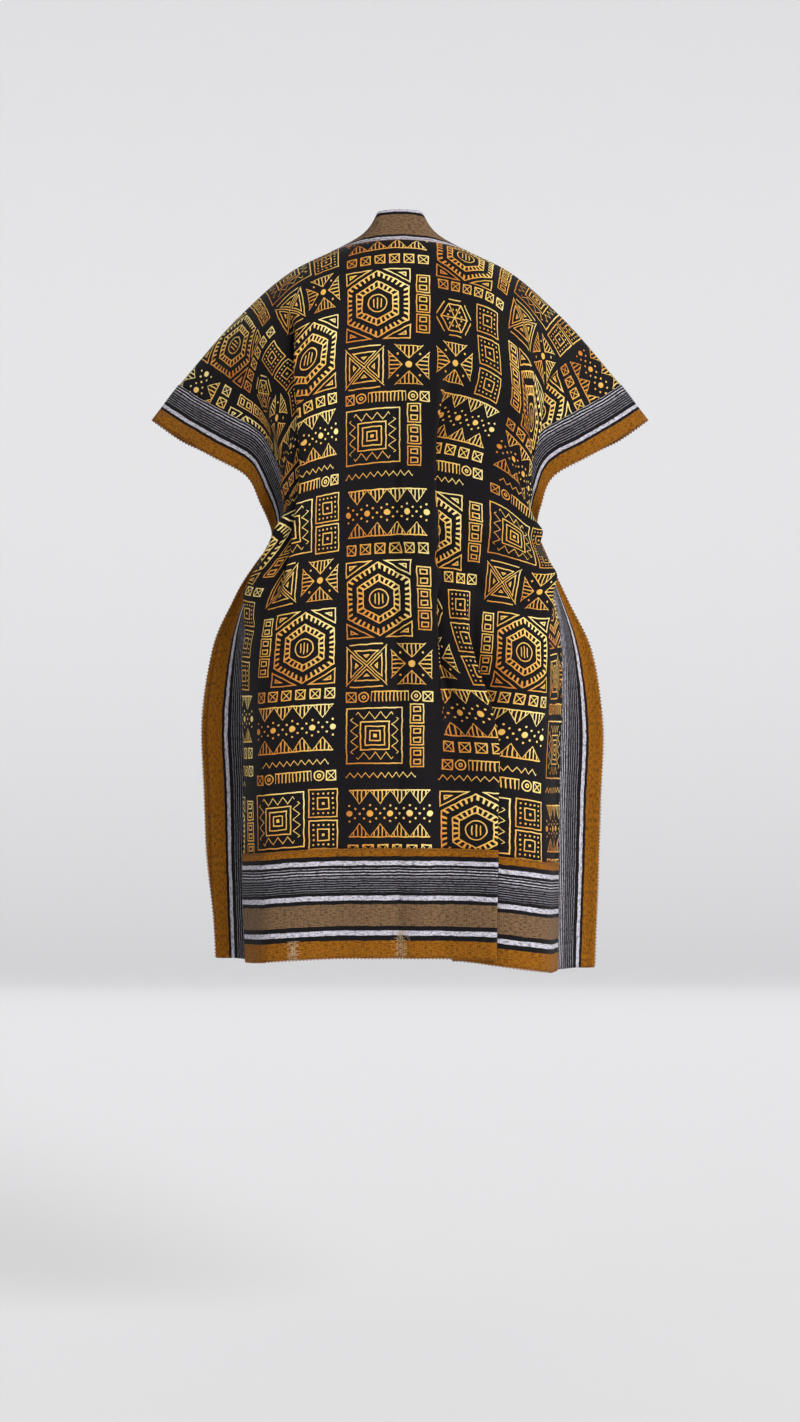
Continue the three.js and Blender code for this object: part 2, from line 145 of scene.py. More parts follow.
# The drape, a row for each level of the cloth: points across the right half on the centre line, behind the
# shoulder, at the turn of the side, at the seam of the side band, and on the outer edge.
SECTION_COLUMNS = ("v", "centre_y", "centre_z", "blade_x", "blade_y", "blade_z", "turn_x", "turn_y", "turn_z",
                   "seam_x", "seam_y", "seam_z", "edge_x", "edge_y", "edge_z")
SECTIONS = [
    (-1030, 118, -969, 125, 118, -968, 190, 106, -969, 208, 34, -971, 259, 3, -970),
    (-900, 120, -840, 125, 120, -839, 190, 106, -840, 210, 30, -843, 264, 3, -843),
    (-800, 122, -740, 125, 122, -740, 190, 106, -742, 211, 28, -743, 267, 3, -745),
    (-700, 124, -640, 125, 124, -642, 190, 107, -643, 214, 28, -643, 270, 3, -647),
    (-600, 126, -541, 124, 126, -546, 188, 109, -548, 213, 46, -542, 255, 3, -550),
    (-520, 128, -461, 122, 128, -469, 181, 109, -478, 203, 57, -475, 227, 3, -488),
    (-440, 130, -382, 118, 128, -394, 170, 107, -414, 184, 60, -425, 205, 4, -440),
    (-370, 130, -312, 115, 128, -326, 162, 105, -360, 167, 66, -387, 189, 12, -406),
    (-300, 128, -243, 115, 128, -260, 162, 105, -308, 160, 76, -346, 183, 34, -382),
    (-230, 120, -174, 116, 120, -192, 166, 103, -250, 166, 80, -300, 188, 58, -349),
    (-160, 100, -106, 120, 100, -126, 178, 92, -190, 186, 76, -258, 205, 60, -310),
    (-100, 76, -50, 124, 76, -72, 192, 73, -142, 232, 62, -231, 257, 50, -282),
    (-50, 48, -12, 130, 44, -42, 205, 39, -110, 270, 34, -213, 299, 28, -264),
    (0, 0, 8, 130, 0, -28, 215, 0, -95, 300, 0, -191, 336, 0, -238),
    (50, -50, 0, 128, -46, -38, 205, -42, -108, 270, -34, -212, 300, -28, -262),
    (100, -78, -41, 122, -84, -68, 192, -78, -140, 232, -62, -234, 258, -50, -288),
    (160, -98, -97, 118, -108, -122, 178, -98, -188, 186, -76, -262, 206, -60, -318),
    (230, -114, -165, 116, -124, -188, 166, -110, -248, 166, -80, -304, 189, -58, -357),
    (300, -123, -234, 115, -130, -256, 162, -112, -306, 160, -76, -348, 184, -34, -386),
    (370, -128, -303, 115, -132, -322, 162, -112, -358, 167, -66, -386, 190, -12, -404),
    (440, -130, -373, 118, -134, -388, 170, -114, -412, 184, -60, -424, 206, -4, -438),
    (520, -131, -452, 122, -135, -463, 181, -116, -476, 203, -57, -474, 228, -3, -486),
    (600, -132, -532, 124, -136, -540, 188, -116, -546, 213, -46, -541, 256, -3, -548),
    (700, -132, -631, 125, -135, -636, 190, -114, -641, 214, -28, -642, 271, -3, -645),
    (800, -131, -731, 125, -134, -734, 190, -113, -740, 211, -28, -742, 268, -3, -743),
    (900, -130, -831, 125, -133, -833, 190, -113, -838, 210, -30, -842, 265, -3, -841),
    (1030, -128, -960, 125, -131, -962, 190, -113, -967, 208, -34, -970, 260, -3, -968),
]

# Deep folds, in which the cloth nearer the centre laps over the cloth beyond it.
FOLD_COLUMNS = ("face", "side", "at", "overlap", "top", "full", "low", "end")
FOLDS = [
    ("back", 1, 64, 14, 220, 360, 560, 760),
    ("back", 1, 150, 46, 500, 760, 1100, 1200),
    ("back", 1, 306, 28, 90, 240, 420, 640),
    ("back", -1, 178, 34, 110, 240, 400, 560),
    ("back", -1, 286, 38, 340, 540, 1100, 1200),
    ("front", 1, 190, 28, 180, 420, 1100, 1200),
    ("front", 1, 296, 24, 110, 300, 1100, 1200),
    ("front", -1, 190, 28, 180, 420, 1100, 1200),
    ("front", -1, 296, 24, 110, 300, 1100, 1200),
]

# Soft waves, which swell out of the drape without lapping.
WAVE_COLUMNS = ("face", "side", "at", "width", "height", "top", "full", "low", "end")
WAVES = [
    ("back", 1, 20, 80, 7, 260, 520, 1100, 1200),
    ("back", -1, 90, 110, -6, 420, 700, 1100, 1200),
    ("back", 1, 250, 90, 7, 560, 760, 1100, 1200),
    ("back", 1, 210, 110, 9, 60, 160, 300, 460),
    ("back", -1, 240, 100, 8, 60, 150, 260, 380),
    ("front", 1, 120, 90, 8, 300, 600, 1100, 1200),
    ("front", -1, 130, 90, 7, 300, 600, 1100, 1200),
]

# How the halves differ: the left is tucked in at the elbow and spreads in front, and the right hangs lower.
LEFT_TUCK = 14
LEFT_TUCK_AT = 370
LEFT_TUCK_REACH = 200
LEFT_NARROW = 6
SKIRT_SHIFT = 4
RIGHT_DROP = 13
LEFT_FRONT_SPREAD = 9

# The place and depth of the side band's fullest point, the steps between two knots of the drape, how far a
# fold takes to ease back to the drape, and the reach over which slopes are taken.
FIN_AT = 0.68
FIN_DEPTH = 1.2
SPAN_STEPS = 40
LAP_EASING = 95
BEYOND_ANY_LAP = 1000.0
REACH = 1.5

# Creases of the back, each a soft ridge between two places of the cloth, or a trough where it is negative.
CREASE_COLUMNS = ("a0", "v0", "a1", "v1", "width", "height")
BACK_CREASES = [
    (-70, 462, 60, 474, 16, 5.0), (-60, 486, 70, 500, 18, -4.0),
    (20, 440, 130, 452, 20, 3.0), (-40, 508, 90, 530, 18, 3.0),
    (110, 330, 60, 470, 34, 4.5), (30, 516, 110, 540, 14, 4.5),
    (120, 500, 200, 560, 20, -5.0), (150, 440, 260, 500, 18, 5.0),
    (40, 560, 62, 760, 26, -4.0), (92, 540, 104, 800, 30, 4.0),
    (40, 300, 20, 460, 30, -3.0), (200, 250, 300, 330, 24, 6.5),
    (190, 300, 300, 400, 20, -5.5), (210, 350, 320, 430, 22, 7.0),
    (190, 400, 320, 440, 16, -4.5), (230, 430, 340, 470, 20, -5.5),
    (220, 470, 350, 520, 22, 6.5), (200, 530, 330, 600, 22, -4.5),
    (-200, 270, -320, 340, 24, 5.5), (-220, 330, -330, 410, 22, -5.5),
    (-230, 400, -340, 460, 20, 6.0), (-240, 470, -350, 500, 18, -5.0),
    (-220, 520, -350, 545, 20, 5.5), (-190, 560, -330, 620, 24, -4.0),
    (-110, 130, -150, 420, 50, 5.5), (-60, 240, -90, 440, 36, -3.5),
    (120, 90, 190, 260, 44, 5.5), (170, 110, 240, 240, 26, -4.0),
    (-170, 90, -250, 220, 30, 4.0), (-60, 560, -40, 980, 70, 5.0),
    (60, 640, 70, 1010, 52, -4.5), (-150, 620, -170, 1030, 52, -5.0),
    (-230, 640, -250, 1030, 40, 4.0), (230, 640, 240, 1030, 44, 5.5),
    (300, 600, 310, 1030, 40, -5.0), (-330, 620, -330, 1030, 40, 4.5),
]


def named(columns, rows):
    """The rows of a table as dictionaries."""
    return [dict(zip(columns, row)) for row in rows]


def unit(vectors):
    """Vectors brought to a length of one."""
    return vectors / (np.linalg.norm(vectors, axis=-1, keepdims=True) + 1e-12)


def runs_along(points):
    """The distance along a line to each of its points."""
    return np.append(0, np.cumsum(np.linalg.norm(np.diff(points, axis=0), axis=1)))


def read_off(places, runs, vectors):
    """Vectors given along a line, read at places on it."""
    return np.stack([np.interp(places, runs, vectors[:, c]) for c in range(3)], axis=-1)


sections = named(SECTION_COLUMNS, SECTIONS)
folds = named(FOLD_COLUMNS, FOLDS)
waves = named(WAVE_COLUMNS, WAVES)
section_v = np.array([row["v"] for row in sections], float)


def ease(x, start, stop):
    """A smooth step from 0 at start to 1 at stop."""
    t = np.clip((x - start) / (stop - start), 0, 1)
    return t * t * (3 - 2 * t)


def through(stations, values, x):
    """A smooth curve through values at uneven stations, read at x."""
    stations, values, x = np.asarray(stations, float), np.asarray(values, float), np.asarray(x, float)
    before = np.maximum(np.arange(len(stations)) - 1, 0)
    after = np.minimum(np.arange(len(stations)) + 1, len(stations) - 1)
    slope = (values[after] - values[before]) / (stations[after] - stations[before])
    i = np.clip(np.searchsorted(stations, x) - 1, 0, len(stations) - 2)
    span = stations[i + 1] - stations[i]
    t = (x - stations[i]) / span
    return ((2 * t**3 - 3 * t**2 + 1) * values[i] + (t**3 - 2 * t**2 + t) * span * slope[i]
            + (3 * t**2 - 2 * t**3) * values[i + 1] + (t**3 - t**2) * span * slope[i + 1])


@functools.cache
def level(v, side):
    """The smooth line of the drape across one half at level v: points, their runs, and that of the seam."""
    at = {name: float(through(section_v, [row[name] for row in sections], v)) for name in SECTION_COLUMNS[1:]}
    elbow = 1 - ease(abs(abs(v) - LEFT_TUCK_AT), 0, LEFT_TUCK_REACH)
    tuck = LEFT_TUCK * elbow + LEFT_NARROW * ease(abs(v), 400, 600) if side < 0 else 0
    spread = LEFT_FRONT_SPREAD * ease(-v, 330, 500) * (1 - ease(-v, 850, LENGTH)) if side < 0 else 0
    blade = np.array([at["blade_x"], at["blade_y"], at["blade_z"]])
    turn = np.array([at["turn_x"] - tuck / 2, at["turn_y"], at["turn_z"]])
    seam = np.array([at["seam_x"] - tuck + spread, at["seam_y"], at["seam_z"]])
    edge = np.array([at["edge_x"] - tuck + spread, at["edge_y"], at["edge_z"]])
    fin = seam + (edge - seam) * FIN_AT
    fin[1] += (edge[1] * FIN_DEPTH - fin[1]) * ease(abs(v), 330, 460)
    knots = np.array([blade * (-1, 1, 1), (0, at["centre_y"], at["centre_z"]), blade, turn, seam, fin, edge])
    chord = runs_along(knots)
    x = np.concatenate([np.linspace(chord[i], chord[i + 1], SPAN_STEPS + 1)[0 if i == 1 else 1:]
                        for i in range(1, 6)])
    points = np.stack([through(chord, knots[:, c], x) for c in range(3)], axis=1)
    runs = runs_along(points)
    return points, runs, runs[3 * SPAN_STEPS]


def drape(s, v, side, made):
    """Points of the smooth drape at runs s from the centre line."""
    points, runs, _ = made
    p = read_off(s, runs, points)
    p[..., 0] = side * p[..., 0] + SKIRT_SHIFT * ease(abs(v), 450, 650)
    return p


def strength(row, v):
    """How far a fold or wave has grown at level v."""
    return ease(abs(v), row["top"], row["full"]) * (1 - ease(abs(v), row["low"], row["end"]))


def lap(q, overlap, turn):
    """What a fold does at distance q beyond its middle: the run gained, and the depth stepped in."""
    bend = math.pi * FOLD_RADIUS
    x = np.linspace(-overlap / 2 - bend, overlap / 2 + bend, 97)
    angle = turn * np.clip(np.minimum(x - x[0], x[-1] - x) / bend, 0, 1)
    run = np.append(0, np.cumsum((np.cos((angle[1:] + angle[:-1]) / 2) - 1) * (x[1] - x[0])))
    depth = np.append(0, np.cumsum(-np.sin((angle[1:] + angle[:-1]) / 2) * (x[1] - x[0])))
    return np.interp(q, x, run), np.interp(q, x, depth)


def folded(a, v, side):
    """The run across the folded cloth to places a, and how far the cloth stands out of the drape there."""
    face = "back" if v > 0 else "front"
    laps = []
    for row in folds:
        k = strength(row, v) if (row["face"], row["side"]) == (face, side) else 0
        if k > 0.001:
            laps.append((row["at"], row["overlap"] * k * k, math.pi * math.sqrt(k)))

    def run_to(x):
        return x + sum(lap(x - at, overlap, turn)[0] for at, overlap, turn in laps)

    run = run_to(a)
    whole = float(run_to(np.array(PANEL_HALF, float)))
    out = np.zeros_like(run)
    for at, overlap, turn in laps:
        middle = float(run_to(np.array(at, float)))
        reach = min(LAP_EASING, whole - middle)
        far = float(lap(np.array(BEYOND_ANY_LAP), overlap, turn)[1])
        out += lap(a - at, overlap, turn)[1] - far * ease(run, middle - reach, middle + reach)
    for row in waves:
        if (row["face"], row["side"]) == (face, side):
            t = np.clip((a - row["at"]) / row["width"], -0.5, 0.5)
            out += row["height"] * strength(row, v) * np.cos(math.pi * t) ** 2
    return run, out, whole


def lay_row(a, v, side):
    """Points of the cloth at places a, all on one side of the centre line, along level v."""
    near = [level(v + step, side) for step in (-REACH, 0, REACH)]
    _, runs, seam_run = near[1]
    across = np.abs(a)
    run, out, whole = folded(np.minimum(across, PANEL_HALF), v, side)
    fit = (seam_run - FRONT_EDGE) / (whole - FRONT_EDGE)
    s = np.where(across > FRONT_EDGE, FRONT_EDGE + (run - FRONT_EDGE) * fit, run)
    on_band = seam_run + (runs[-1] - seam_run) * (across - PANEL_HALF) / SIDE_BAND
    s = np.where(across > PANEL_HALF, on_band, s)
    p = drape(s, v, side, near[1])
    along_a = side * (drape(s + REACH, v, side, near[1]) - drape(s - REACH, v, side, near[1]))
    along_v = drape(s, v, side, near[2]) - drape(s, v, side, near[0])
    normal = unit(np.cross(along_v, along_a))
    if side > 0:
        p[:, 2] -= RIGHT_DROP * ease(across, 110, 330) * ease(abs(v), 480, 860)
    return p + normal * np.where(across < PANEL_HALF, out, 0)[:, None]


def lay(a, v_rows):
    """A grid of cloth points, rows down and columns across."""
    rows = []
    for v in v_rows:
        left, right = a[a < 0], a[a >= 0]
        parts = ([lay_row(left, v, -1)] if len(left) else []) + ([lay_row(right, v, 1)] if len(right) else [])
        rows.append(np.concatenate(parts))
    return np.array(rows)


def outward(grid):
    """The direction out of the cloth at each point of a grid."""
    return unit(np.cross(np.gradient(grid, axis=0), np.gradient(grid, axis=1)))


def crease(a, v, rows):
    """How far the creases of a table lift the cloth at places a and v."""
    lift = np.zeros(np.broadcast(a, v).shape)
    for row in named(CREASE_COLUMNS, rows):
        da, dv = row["a1"] - row["a0"], row["v1"] - row["v0"]
        t = ((a - row["a0"]) * da + (v - row["v0"]) * dv) / (da * da + dv * dv)
        k = np.clip(t, 0, 1)
        away = np.hypot(a - row["a0"] - k * da, v - row["v0"] - k * dv) / row["width"]
        lift += row["height"] * np.sin(math.pi * (0.12 + 0.76 * k)) * np.exp(-2.2 * away**2)
    return lift


def rumple(a, v):
    """The slight unevenness of cloth that has been worn."""
    return (0.7 * np.sin(a / 23 + 1.3 * np.sin(v / 61)) * np.sin(v / 47 + 0.8)
            + 0.5 * np.sin(a / 13.7 + v / 29 + 2.1 * np.sin(a / 71)) * np.sin(v / 83 - a / 97))


def stations(face, side, start, stop, step):
    """Places across one half of the cloth, closer together at the bends of the folds."""
    places = list(np.linspace(start, stop, round((stop - start) / step) + 1))
    bend = math.pi * FOLD_RADIUS
    for row in folds:
        if (row["face"], row["side"]) == (face, side):
            for way in (-1, 1):
                centre = row["at"] + way * (row["overlap"] / 2 + bend / 2)
                places += list(np.linspace(centre - bend / 2, centre + bend / 2, 8))
    places = np.array(sorted(places))
    keep = np.append(True, np.diff(places) > 0.6)
    keep[-1] = True
    return places[keep]


def cloth_piece(name, grid, u, v, thickness, right_side, wrong_side, lift=0.0):
    """A closed shell round a grid of points, with its place on the flat cloth in metres as UV."""
    rows, columns = grid.shape[:2]
    out = outward(grid)
    outer = grid + out * (lift + thickness / 2)
    inner = grid + out * (lift - thickness / 2)
    points = np.concatenate([outer.reshape(-1, 3), inner.reshape(-1, 3)]) * MM
    index = np.arange(rows * columns).reshape(rows, columns)
    a, b, c, d = index[:-1, :-1], index[1:, :-1], index[1:, 1:], index[:-1, 1:]
    back = rows * columns
    front_faces = np.stack([a, b, c, d], axis=-1).reshape(-1, 4)
    back_faces = np.stack([a, d, c, b], axis=-1).reshape(-1, 4) + back
    rim = np.concatenate([index[:-1, 0], index[-1, :-1], index[:0:-1, -1], index[0, :0:-1]])
    after = np.roll(rim, -1)
    rim_faces = np.stack([after, rim, rim + back, after + back], axis=-1)
    faces = np.concatenate([front_faces, back_faces, rim_faces])
    mesh = bpy.data.meshes.new(name)
    mesh.vertices.add(len(points))
    mesh.vertices.foreach_set("co", points.ravel())
    mesh.loops.add(faces.size)
    mesh.loops.foreach_set("vertex_index", faces.ravel())
    mesh.polygons.add(len(faces))
    mesh.polygons.foreach_set("loop_start", np.arange(0, faces.size, 4))
    mesh.polygons.foreach_set("use_smooth", np.ones(len(faces), bool))
    mesh.polygons.foreach_set("material_index", (np.arange(len(faces)) >= len(front_faces)).astype(int))
    flat = np.stack(np.broadcast_arrays(u, v), axis=-1).reshape(-1, 2) * MM
    flat = np.concatenate([flat, flat])
    layer = mesh.uv_layers.new(name="flat_cloth")
    layer.data.foreach_set("uv", flat[faces.ravel()].ravel())
    mesh.update()
    mesh.validate()
    for material in (right_side, wrong_side):
        mesh.materials.append(material)
    piece = add_object(name, mesh)
    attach(piece, "root")
    return piece


# The print: hand-drawn blocks in gold lines, each the size of a hand, in an offset patchwork on black. The
# screen printed lines waver a little, and their gold runs from orange at a block's lower left to pale yellow
# at its upper right. Each motif below is drawn in millimetres from its middle.
LINE = 1.55
PRINT_WAVER = 2.2
REPEAT_WIDTH = 380
REPEAT_LENGTH = 400
GROUND = "#0c0a0c"
GROUND_FADED = "#171316"
GOLD = [(0.0, "#c67b31"), (0.3, "#de9c45"), (0.62, "#efbf62"), (1.0, "#fce494")]
BLOCKS = {
    # motif: half width, half height, then the centres of its blocks in the repeat
    "medallion": (45, 52, [(49, 154), (172, 60), (325, 212)]),
    "crossed_square": (27, 30, [(31, 242), (283, 120)]),
    "hatched_star": (29, 29, [(91, 241), (156, 231), (345, 122)]),
    "zigzag_square": (38, 38, [(42, 336), (292, 44)]),
    "row_of_boxes": (58, 8, [(62, 87), (186, 122), (188, 350), (314, 276)]),
    "dotted_square": (20, 20, [(214, 158), (214, 202), (214, 246), (354, 24), (354, 66)]),
    "double_boxes": (10, 43, [(110, 154), (98, 336), (235, 56), (266, 206)]),
    "wheel": (28, 28, [(156, 168)]),
    "triangle_band": (58, 33, [(62, 39), (188, 304), (314, 322)]),
    "comb_row": (58, 8, [(62, 284), (188, 374), (314, 387)]),
    "zigzag": (46, 5, [(50, 388), (316, 368), (172, 391)]),
}


def put(tree, kind, *inputs, **settings):
    """Adds a node with its inputs and settings and returns its first output. Capitals name a maths node."""
    if kind.isupper():
        node = tree.nodes.new("ShaderNodeMath")
        node.operation = kind
    else:
        node = tree.nodes.new("ShaderNode" + kind)
    for name, value in settings.items():
        target = node.inputs.get(name.replace("_", " ").title()) if name[0].isupper() else None
        if name == "stops":
            for i, (place, shade) in enumerate(value):
                element = node.color_ramp.elements[i] if i < 2 else node.color_ramp.elements.new(place)
                element.position, element.color = place, colour(shade)
        elif target is None:
            setattr(node, name, value)
        elif isinstance(value, bpy.types.NodeSocket):
            tree.links.new(value, target)
        else:
            target.default_value = value
    for socket, value in zip(node.inputs, inputs):
        if isinstance(value, bpy.types.NodeSocket):
            tree.links.new(value, socket)
        elif value is not None:
            socket.default_value = value
    return node.outputs[0]


def less(tree, x, y):
    """The first value less the second."""
    return put(tree, "SUBTRACT", x, y)


def times(tree, x, y):
    """The product of two values."""
    return put(tree, "MULTIPLY", x, y)


def over(tree, x, limit):
    """Where a value is over a limit."""
    return put(tree, "GREATER_THAN", x, limit)


def below(tree, x, limit):
    """Where a value is below a limit."""
    return put(tree, "LESS_THAN", x, limit)


def ranked(tree, x, y):
    """The larger and the smaller of two values."""
    return put(tree, "MAXIMUM", x, y), put(tree, "MINIMUM", x, y)


def at(tree, distance, *places):
    """Drawn lines where a distance is at one of the given places."""
    return either(tree, *[put(tree, "COMPARE", distance, place, LINE / 2) for place in places])


def either(tree, *marks):
    """Where any of the marks is."""
    return functools.reduce(lambda x, y: put(tree, "MAXIMUM", x, y), marks)


def both(tree, *marks):
    """Where all of the marks are."""
    return functools.reduce(lambda x, y: put(tree, "MULTIPLY", x, y), marks)


def length(tree, x, y):
    """The distance from the origin."""
    return put(tree, "SQRT", put(tree, "MULTIPLY_ADD", x, x, times(tree, y, y)))


def hatch(tree, distance, pitch):
    """Parallel strokes across a distance."""
    return below(tree, put(tree, "PINGPONG", distance, pitch / 2), LINE / 2)


def medallion(tree, x, y, ax, ay):
    """A hexagon between two combs, round a barred circle, in a frame of four corners."""
    slant = put(tree, "MULTIPLY_ADD", ax, 0.5, times(tree, ay, 0.866))
    hexagon = put(tree, "MAXIMUM", ax, slant)
    angle = put(tree, "ARCTAN2", y, x)
    outer_comb = both(tree, put(tree, "COMPARE", hexagon, 38.6, 3.4),
                      over(tree, put(tree, "SINE", times(tree, angle, 36.0)), 0.3))
    inner_comb = both(tree, put(tree, "COMPARE", hexagon, 24.4, 3.2),
                      over(tree, put(tree, "SINE", times(tree, angle, 24.0)), 0.35))
    circle = length(tree, x, y)
    bars = both(tree, hatch(tree, x, 5.0), below(tree, circle, 8.0))
    corner = put(tree, "MAXIMUM", less(tree, ax, 43.5), less(tree, ay, 50.5))
    corner = put(tree, "MAXIMUM", corner, less(tree, 48.5, hexagon))
    return either(tree, at(tree, hexagon, 42.0, 28.0, 20.5), at(tree, circle, 12.5), bars, outer_comb,
                  inner_comb, at(tree, corner, 0.0, -5.5))


def crossed_square(tree, x, y, ax, ay):
    """Crossed diagonals with two nested triangles on each side, in an open frame."""
    frame_x = both(tree, at(tree, ax, 25.6), below(tree, ay, 24.0))
    frame_y = both(tree, at(tree, ay, 28.6), below(tree, ax, 22.0))
    far, near = ranked(tree, ax, ay)
    wedge = put(tree, "ADD", less(tree, near, far), 4.6)
    wedge = put(tree, "MAXIMUM", less(tree, far, 20.0), wedge)
    return either(tree, frame_x, frame_y, at(tree, wedge, 0.0, -6.2), at(tree, less(tree, far, near), 0.0))


def hatched_star(tree, x, y, ax, ay):
    """Four hatched triangles that point to a dot, and small dots between them."""
    far, near = ranked(tree, ax, ay)
    inside = over(tree, less(tree, far, near), 9.0)
    inside = both(tree, inside, below(tree, far, 27.0))
    edge = both(tree, at(tree, less(tree, far, near), 9.0), below(tree, far, 28.0))
    return either(tree, both(tree, inside, hatch(tree, near, 5.6)), edge,
                  both(tree, inside, at(tree, far, 26.8)),
                  below(tree, length(tree, x, y), 4.4),
                  below(tree, length(tree, less(tree, ax, 15.0), less(tree, ay, 15.0)), 1.5))


def zigzag_square(tree, x, y, ax, ay):
    """Nested squares in a zigzag."""
    far, near = ranked(tree, ax, ay)
    teeth = put(tree, "MULTIPLY_ADD", put(tree, "PINGPONG", near, 7.2), 1.3, 22.0)
    toothed = both(tree, at(tree, less(tree, far, teeth), 0.0), below(tree, near, 24.0))
    return either(tree, at(tree, far, 36.6, 18.5, 12.5, 6.5), toothed, below(tree, far, 2.2))


def row_of_boxes(tree, x, y, ax, ay):
    """A row of crossed boxes."""
    fx = put(tree, "ABSOLUTE", less(tree, put(tree, "WRAP", x, 19.4, 0.0), 9.7))
    far = put(tree, "MAXIMUM", fx, ay)
    cross = both(tree, at(tree, less(tree, fx, ay), 0.0), below(tree, far, 6.4))
    return either(tree, at(tree, far, 6.4), cross)


def dotted_square(tree, x, y, ax, ay):
    """Two squares with a row of dots between them."""
    far, near = ranked(tree, ax, ay)
    dots = length(tree, less(tree, far, 13.0), put(tree, "PINGPONG", near, 3.3))
    return either(tree, at(tree, far, 18.6, 7.4), below(tree, dots, 1.3), below(tree, far, 1.6))


def double_boxes(tree, x, y, ax, ay):
    """A column of boxes with two small ones in each."""
    fy = put(tree, "ABSOLUTE", put(tree, "WRAP", y, 14.4, -14.4))
    outer = put(tree, "MAXIMUM", less(tree, ax, 8.6), less(tree, fy, 12.4))
    fz = put(tree, "ABSOLUTE", less(tree, fy, 5.8))
    inner = put(tree, "MAXIMUM", less(tree, ax, 4.4), less(tree, fz, 3.0))
    return either(tree, at(tree, outer, 0.0), put(tree, "COMPARE", inner, 0.0, 0.8))


def wheel(tree, x, y, ax, ay):
    """A hexagon with six spokes and a ring of dots, in a broken outline."""
    slant = put(tree, "MULTIPLY_ADD", ay, 0.5, times(tree, ax, 0.866))
    hexagon = put(tree, "MAXIMUM", ay, slant)
    spoke = less(tree, times(tree, ax, 0.866), times(tree, ay, 0.5))
    spokes = both(tree, either(tree, at(tree, spoke, 0.0), at(tree, ay, 0.0)), below(tree, hexagon, 19.0))
    around = put(tree, "SINE", times(tree, put(tree, "ARCTAN2", y, x), 6.0))
    dots = both(tree, put(tree, "COMPARE", length(tree, x, y), 12.0, 1.5),
                over(tree, put(tree, "ABSOLUTE", around), 0.86))
    strokes = both(tree, at(tree, hexagon, 25.6), over(tree, put(tree, "ABSOLUTE", spoke), 4.0))
    return either(tree, at(tree, hexagon, 19.0), spokes, dots, strokes)


def triangle_band(tree, x, y, ax, ay):
    """Two facing rows of hatched triangles with dots between them."""
    beside = put(tree, "PINGPONG", put(tree, "ADD", x, 13.25), 13.25)
    rise = less(tree, ay, put(tree, "MULTIPLY_ADD", beside, 1.36, 12.6))
    block = below(tree, put(tree, "MAXIMUM", less(tree, ax, 53.6), less(tree, ay, 31.6)), 0.0)
    lines = either(tree, both(tree, over(tree, rise, 0.0), hatch(tree, x, 5.3)),
                   at(tree, rise, 0.6), both(tree, at(tree, ay, 30.8), over(tree, rise, -1.0)))
    dots = []
    for dot_x, dot_y, radius in ((13.25, 0.0, 4.0), (5.6, 6.2, 1.4), (0.0, 0.0, 1.5), (13.25, 10.6, 1.4)):
        away = length(tree, less(tree, beside, dot_x), less(tree, ay, dot_y))
        dots.append(below(tree, away, radius))
    return either(tree, both(tree, block, lines), *dots)


def comb_row(tree, x, y, ax, ay):
    """A comb with a ring and a crossed box at each end."""
    comb = both(tree, hatch(tree, x, 5.0), below(tree, ax, 25.0), below(tree, ay, 6.6))
    back_of_comb = both(tree, at(tree, y, -6.4), below(tree, ax, 25.0))
    ring = length(tree, less(tree, ax, 34.6), y)
    off = put(tree, "ABSOLUTE", less(tree, ax, 50.5))
    far = put(tree, "MAXIMUM", off, ay)
    cross = both(tree, at(tree, less(tree, off, ay), 0.0), below(tree, far, 6.2))
    return either(tree, comb, back_of_comb, at(tree, ring, 6.2, 2.0), at(tree, far, 6.2), cross)


def zigzag(tree, x, y, ax, ay):
    """A single zigzag line."""
    return at(tree, less(tree, y, put(tree, "MULTIPLY_ADD", put(tree, "PINGPONG", x, 5.0), 1.3, -3.2)), 0.0)


MOTIFS = [medallion, crossed_square, hatched_star, zigzag_square, row_of_boxes, dotted_square, double_boxes,
          wheel, triangle_band, comb_row, zigzag]


def new_material(name):
    """An empty material, its tree and its shader."""
    material = bpy.data.materials.new(name)
    material.use_nodes = True
    return material, material.node_tree, material.node_tree.nodes["Principled BSDF"]


def cloth_place(tree):
    """The place on the flat cloth in millimetres: across, along, and both as a vector."""
    flat = put(tree, "UVMap", uv_map="flat_cloth")
    split = put(tree, "SeparateXYZ", flat).node
    across, along = [times(tree, split.outputs[i], 1 / MM) for i in (0, 1)]
    return across, along, put(tree, "CombineXYZ", across, along, 0.0)


def surface(tree, shader, shade, relief, strength, distance, **settings):
    """Gives a material its colour, its relief and the rest of its settings."""
    tree.links.new(shade, shader.inputs["Base Color"])
    bump = put(tree, "Bump", Height=relief, Strength=strength, Distance=distance)
    tree.links.new(bump, shader.inputs["Normal"])
    for name, value in settings.items():
        shader.inputs[name.replace("_", " ")].default_value = value


